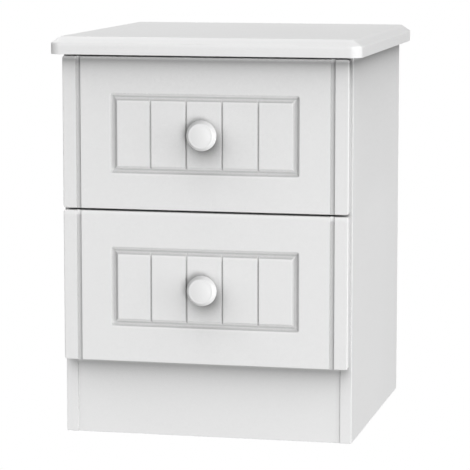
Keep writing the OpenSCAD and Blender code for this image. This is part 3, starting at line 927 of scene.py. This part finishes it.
def make_beech(shop, colour):
    """Bare beech with its fibres along the dowels."""
    material, tree, shader = new_material("beech", colour)
    grain = shop.use(tree, "Grain", make_grain_group, {"Stretch": (0.08, 1.0, 1.0), "Scale": 900})
    tone = math_node(tree, "MULTIPLY_ADD", grain.outputs["Fibres"], 0.7, 0.65)
    base = add_node(tree, "ShaderNodeRGB")
    base.outputs[0].default_value = (*colour, 1.0)
    tree.links.new(scaled_colour(tree, base.outputs[0], tone), shader.inputs["Base Color"])
    rough = math_node(tree, "MULTIPLY_ADD", grain.outputs["Fibres"], 0.2, 0.5)
    tree.links.new(rough, shader.inputs["Roughness"])
    bumped(tree, shader, grain.outputs["Height"], 0.05 * MM)
    return material


MAKERS = {
    "white_foil": make_white_foil,
    "white_board": make_white_board,
    "drawer_board": make_drawer_board,
    "hardboard": make_hardboard,
    "knob_paint": make_knob_paint,
    "coated_steel": make_coated_steel,
    "zinc_screws": make_zinc_screws,
    "zinc_fittings": make_zinc_fittings,
    "brass": make_brass,
    "beech": make_beech,
    "nylon": make_nylon,
}


def refinish(nodes, slot):
    """Gives CAD nodes, whose shapes are right already, the finish of their slot."""
    for name in nodes:
        piece = frame["nodes"][name]
        if not piece.material_slots:
            piece.data.materials.append(None)
        for holder in piece.material_slots:
            holder.link = "OBJECT"
            holder.material = workshop.material(slot)


# ---------------------------------------------------------------- operators


class CABINET_OT_top_board(bpy.types.Operator):
    """Build the top board with its bevel and round front corners"""

    bl_idname = "cabinet.top_board"
    bl_label = "Top Board"

    def execute(self, context):
        make_top_board(context.scene.cabinet_boards, workshop.material("white_foil"))
        return {"FINISHED"}


class CABINET_OT_side_panels(bpy.types.Operator):
    """Build the two side panels with eased edges"""

    bl_idname = "cabinet.side_panels"
    bl_label = "Side Panels"

    def execute(self, context):
        width = context.scene.cabinet_boards.arris
        # the sides' foil: a copy with weaker painted shade
        foil = foil_with_less_painted_shade("side_foil", SIDE_PAINTED_SHADE)
        for side in SIDES:
            eased_copy(f"{side}_side_panel", width, foil)
        return {"FINISHED"}


class CABINET_OT_carcass_boards(bpy.types.Operator):
    """Build the plinths, the rails, the bottom and the back panel"""

    bl_idname = "cabinet.carcass_boards"
    bl_label = "Carcass Boards"

    def execute(self, context):
        width = context.scene.cabinet_boards.arris
        # the plinth's foil: a copy with weaker painted shade
        eased_copy("front_plinth", width, foil_with_less_painted_shade("plinth_foil", PLINTH_PAINTED_SHADE))
        eased_copy("divider_rail", width, workshop.material("white_foil"))
        for node in ("bottom_panel", "rear_plinth", "front_top_rail", "rear_top_rail"):
            eased_copy(node, width, workshop.material("white_board"))
        eased_copy("back_panel", PANEL_EASE, workshop.material("hardboard"))
        return {"FINISHED"}


class CABINET_OT_drawer_fronts(bpy.types.Operator):
    """Build the two routed drawer fronts"""

    bl_idname = "cabinet.drawer_fronts"
    bl_label = "Drawer Fronts"

    def execute(self, context):
        for drawer in DRAWERS:
            node = f"{drawer}_drawer_front"
            piece = front_piece(f"routed_{node}", *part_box(node), context.scene.cabinet_fronts)
            stand_for(piece, node, workshop.material("white_foil"))
        return {"FINISHED"}


class CABINET_OT_knobs(bpy.types.Operator):
    """Turn the two knobs"""

    bl_idname = "cabinet.knobs"
    bl_label = "Knobs"

    def execute(self, context):
        for drawer in DRAWERS:
            node = f"{drawer}_knob"
            low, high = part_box(node)
            foot = Vector(((low.x + high.x) / 2, high.y, (low.z + high.z) / 2))
            piece = knob_piece(
                f"turned_{node}", foot, (high.x - low.x) / 2, high.y - low.y, context.scene.cabinet_knobs
            )
            stand_for(piece, node, workshop.material("knob_paint"))
        return {"FINISHED"}


class CABINET_OT_drawer_boxes(bpy.types.Operator):
    """Build the boards of the two drawer boxes"""

    bl_idname = "cabinet.drawer_boxes"
    bl_label = "Drawer Boxes"

    def execute(self, context):
        width = context.scene.cabinet_boards.drawer_arris
        for drawer in DRAWERS:
            for part in ("front", "back", "left_side", "right_side"):
                board = workshop.material("drawer_board")
                eased_copy(f"{drawer}_box_{part}", width, board)
            eased_copy(f"{drawer}_box_base", BASE_EASE, workshop.material("hardboard"))
        return {"FINISHED"}


class CABINET_OT_runners(bpy.types.Operator):
    """Build the steel runners and finish their wheels"""

    bl_idname = "cabinet.runners"
    bl_label = "Runners"

    def execute(self, context):
        width = context.scene.cabinet_boards.steel_bend
        steel = workshop.material("coated_steel")
        for drawer in DRAWERS:
            for side in SIDES:
                for member in ("cabinet", "drawer"):
                    eased_copy(f"{drawer}_{side}_{member}_runner", width, steel)
        refinish([n for n in frame["nodes"] if n.endswith("_wheel")], "nylon")
        return {"FINISHED"}


class CABINET_OT_fittings(bpy.types.Operator):
    """Finish the screws, rivets, locks, dowels and inserts"""

    bl_idname = "cabinet.fittings"
    bl_label = "Fittings"

    def execute(self, context):
        names = sorted(frame["nodes"])
        refinish([n for n in names if n.endswith(("_screws", "_rivets", "_knob_bolt"))], "zinc_screws")
        refinish(["cam_locks", "cam_bolts"], "zinc_fittings")
        refinish([n for n in names if n.endswith("_insert")], "brass")
        refinish(["dowels"], "beech")
        return {"FINISHED"}


class CABINET_OT_studio(bpy.types.Operator):
    """Set up the floor, the lights and the camera"""

    bl_idname = "cabinet.studio"
    bl_label = "Studio"

    def execute(self, context):
        sizes = context.scene.cabinet_studio
        make_floor()
        make_dome(context.scene, sizes.above, sizes.below)
        make_lights(sizes)
        make_camera(context.scene, sizes)
        return {"FINISHED"}


# ---------------------------------------------------------------- studio


def make_floor():
    """A wide round floor that only shows white to the camera and takes no part in the lighting."""
    shape = bmesh.new()
    bmesh.ops.create_circle(shape, cap_ends=True, segments=96, radius=18.0)
    for vert in shape.verts:
        vert.co.z = -0.3 * MM
    mesh = bpy.data.meshes.new("floor")
    shape.to_mesh(mesh)
    shape.free()
    floor = bpy.data.objects.new("floor", mesh)
    bpy.context.scene.collection.objects.link(floor)
    material = bpy.data.materials.new("pale_floor")
    material.use_nodes = True
    tree = material.node_tree
    shader = tree.nodes["Principled BSDF"]
    shader.inputs["Base Color"].default_value = (0.82, 0.82, 0.82, 1.0)
    shader.inputs["Roughness"].default_value = 0.9
    shader.inputs["Specular IOR Level"].default_value = 0.1
    glow = add_node(tree, "ShaderNodeEmission", {"Strength": 1.0})
    seen = tree.nodes.new("ShaderNodeLightPath").outputs["Is Camera Ray"]
    mix = add_node(tree, "ShaderNodeMixShader", {"Fac": seen})
    tree.links.new(shader.outputs[0], mix.inputs[1])
    tree.links.new(glow.outputs[0], mix.inputs[2])
    tree.links.new(mix.outputs[0], tree.nodes["Material Output"].inputs["Surface"])
    mesh.materials.append(material)
    floor.visible_diffuse = floor.visible_glossy = floor.visible_shadow = False


def make_dome(scene, above, below):
    """A surround that is plain white to the camera, and a dimmer light, most of all from below."""
    world = bpy.data.worlds.new("studio")
    world.use_nodes = True
    tree = world.node_tree
    back = tree.nodes["Background"]
    way = tree.nodes.new("ShaderNodeTexCoord").outputs["Generated"]
    height = add_node(tree, "ShaderNodeSeparateXYZ", {"Vector": way}).outputs["Z"]
    level = add_node(
        tree, "ShaderNodeMapRange",
        {"Value": height, "From Min": -0.1, "From Max": 0.1, "To Min": below, "To Max": above},
    ).outputs["Result"]
    seen = tree.nodes.new("ShaderNodeLightPath").outputs["Is Camera Ray"]
    extra = math_node(tree, "SUBTRACT", 1.0, level)
    back.inputs["Color"].default_value = (1.0, 1.0, 1.0, 1.0)
    tree.links.new(math_node(tree, "MULTIPLY_ADD", seen, extra, level), back.inputs["Strength"])
    scene.world = world


def soft_light(name, power, size, azimuth, elevation, distance, aim):
    """A square area light round the cabinet: azimuth 0 is in front and 90 is on its right."""
    data = bpy.data.lights.new(name, "AREA")
    data.energy = power
    data.shape = "SQUARE"
    data.size = size
    light = bpy.data.objects.new(name, data)
    a, e = math.radians(azimuth), math.radians(elevation)
    away = Vector((math.sin(a) * math.cos(e), -math.cos(a) * math.cos(e), math.sin(e)))
    light.location = Vector(aim) + away * distance
    light.rotation_mode = "QUATERNION"
    light.rotation_quaternion = (-away).to_track_quat("-Z", "Y")
    light.visible_camera = False
    bpy.context.scene.collection.objects.link(light)


def make_lights(sizes):
    """Large lights far off, so the shadows are soft and the faces evenly lit."""
    aim = (cad_box[0] + cad_box[1]) / 2
    for name, (azimuth, elevation) in LIGHT_PLACES.items():
        power = getattr(sizes, name)
        soft_light(f"{name}_light", power, LIGHT_SIZE, azimuth, elevation, LIGHT_DISTANCE, aim)


def make_camera(scene, sizes):
    """A long lens from a little above and to the right."""
    data = bpy.data.cameras.new("camera")
    data.lens = sizes.lens
    data.sensor_width = 36.0
    data.clip_start, data.clip_end = 0.05, 100.0
    camera = bpy.data.objects.new("camera", data)
    camera.location = sizes.place
    camera.rotation_euler = (math.pi / 2 - sizes.tilt, 0.0, sizes.turn)
    scene.collection.objects.link(camera)
    scene.camera = camera
    scene.view_settings.view_transform = "Standard"


# ---------------------------------------------------------------- add-on


OPERATORS = (
    CABINET_OT_top_board,
    CABINET_OT_side_panels,
    CABINET_OT_carcass_boards,
    CABINET_OT_drawer_fronts,
    CABINET_OT_knobs,
    CABINET_OT_drawer_boxes,
    CABINET_OT_runners,
    CABINET_OT_fittings,
    CABINET_OT_studio,
)
GROUPS = {
    "cabinet_boards": BoardSizes,
    "cabinet_fronts": FrontSizes,
    "cabinet_knobs": KnobSizes,
    "cabinet_finishes": Finishes,
    "cabinet_studio": StudioSizes,
}


class CABINET_PT_build(bpy.types.Panel):
    """Lists the pieces of the cabinet and what can be changed on them"""

    bl_idname = "CABINET_PT_build"
    bl_label = "Bedside Cabinet"
    bl_space_type = "VIEW_3D"
    bl_region_type = "UI"
    bl_category = "Cabinet"

    def draw(self, context):
        for operator in OPERATORS:
            self.layout.operator(operator.bl_idname)
        for name, group in GROUPS.items():
            box = self.layout.box()
            for key in group.__annotations__:
                box.prop(getattr(context.scene, name), key)


def register():
    """Adds the classes, and the sizes as properties of the scene."""
    for made in (*GROUPS.values(), *OPERATORS, CABINET_PT_build):
        bpy.utils.register_class(made)
    for name, group in GROUPS.items():
        setattr(bpy.types.Scene, name, bpy.props.PointerProperty(type=group))


def unregister():
    """Takes the properties and the classes away again."""
    for name in GROUPS:
        delattr(bpy.types.Scene, name)
    for made in reversed((*GROUPS.values(), *OPERATORS, CABINET_PT_build)):
        bpy.utils.unregister_class(made)


def main():
    """Builds every piece and the studio."""
    register()
    for operator in OPERATORS:
        group, name = operator.bl_idname.split(".")
        getattr(getattr(bpy.ops, group), name)()


if __name__ == "__main__":
    main()
